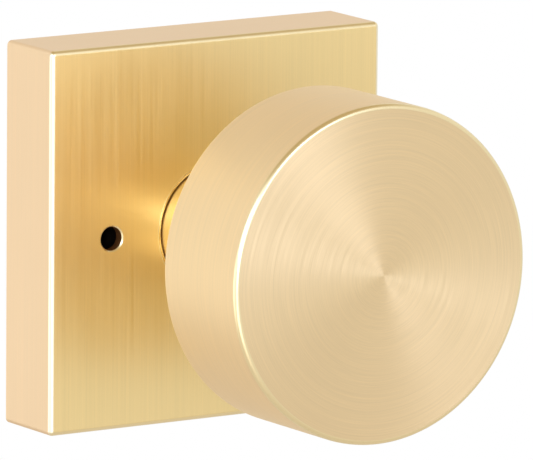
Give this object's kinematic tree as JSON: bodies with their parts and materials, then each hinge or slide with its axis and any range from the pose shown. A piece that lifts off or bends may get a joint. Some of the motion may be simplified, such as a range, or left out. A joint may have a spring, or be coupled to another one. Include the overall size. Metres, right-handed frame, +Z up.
{
  "type": "door knob",
  "caption": "Drum door knob on a square rose, with return spring, spindle, mounting posts and an emergency release behind a small hole.",
  "frame": {"origin": "on the door's face, on the axis that the knob turns about", "axes": "-Y out of the door towards the hand, +Y into the door along the spindle, +Z up, +X to the right as seen from in front"},
  "size_m": [0.067, 0.1114, 0.067],
  "materials": {
    "satin_brass": "satin, brushed",
    "zinc_steel": "bright zinc plated",
    "spring_steel": "drawn spring steel",
    "dark_steel": "black oxide",
    "cast_zinc": "bare die casting",
    "acetal": "moulded"
  },
  "bodies": {
    "rose": {"rose_cover": "satin_brass", "mounting_plate": "zinc_steel", "spring_housing": "cast_zinc", "neck_bushing": "acetal", "backing_washer": "zinc_steel", "stop_pin": "dark_steel", "housing_screw_1": "zinc_steel", "housing_screw_2": "zinc_steel", "housing_screw_3": "zinc_steel", "housing_screw_4": "zinc_steel", "mounting_post_upper": "zinc_steel", "mounting_post_lower": "zinc_steel", "rose_set_screw": "dark_steel", "release_guide": "dark_steel", "release_spring": "spring_steel", "return_spring": "spring_steel"},
    "knob": {"knob_shell": "satin_brass", "knob_back_plate": "satin_brass", "knob_neck": "satin_brass", "knob_insert": "cast_zinc", "knob_shank": "zinc_steel", "knob_set_screw": "dark_steel", "spring_driver": "zinc_steel", "retaining_ring": "spring_steel", "spindle": "zinc_steel", "spindle_pin": "dark_steel"},
    "release": {"release_plunger": "dark_steel", "release_clip": "spring_steel"}
  },
  "joints": [
    {"name": "knob_turn", "type": "hinge", "parent": "rose", "child": "knob", "pos_m": [0, 0, 0], "axis": [0, 1, 0], "range_deg": [-60, 60], "stiffness_Nm_per_rad": 0.35, "deforming": ["return_spring"]},
    {"name": "release_push", "type": "slide", "parent": "rose", "child": "release", "axis": [0, 1, 0], "range_m": [0, 0.004], "stiffness_N_per_m": 250, "springref_m": -0.003, "deforming": ["release_spring"]}
  ]
}
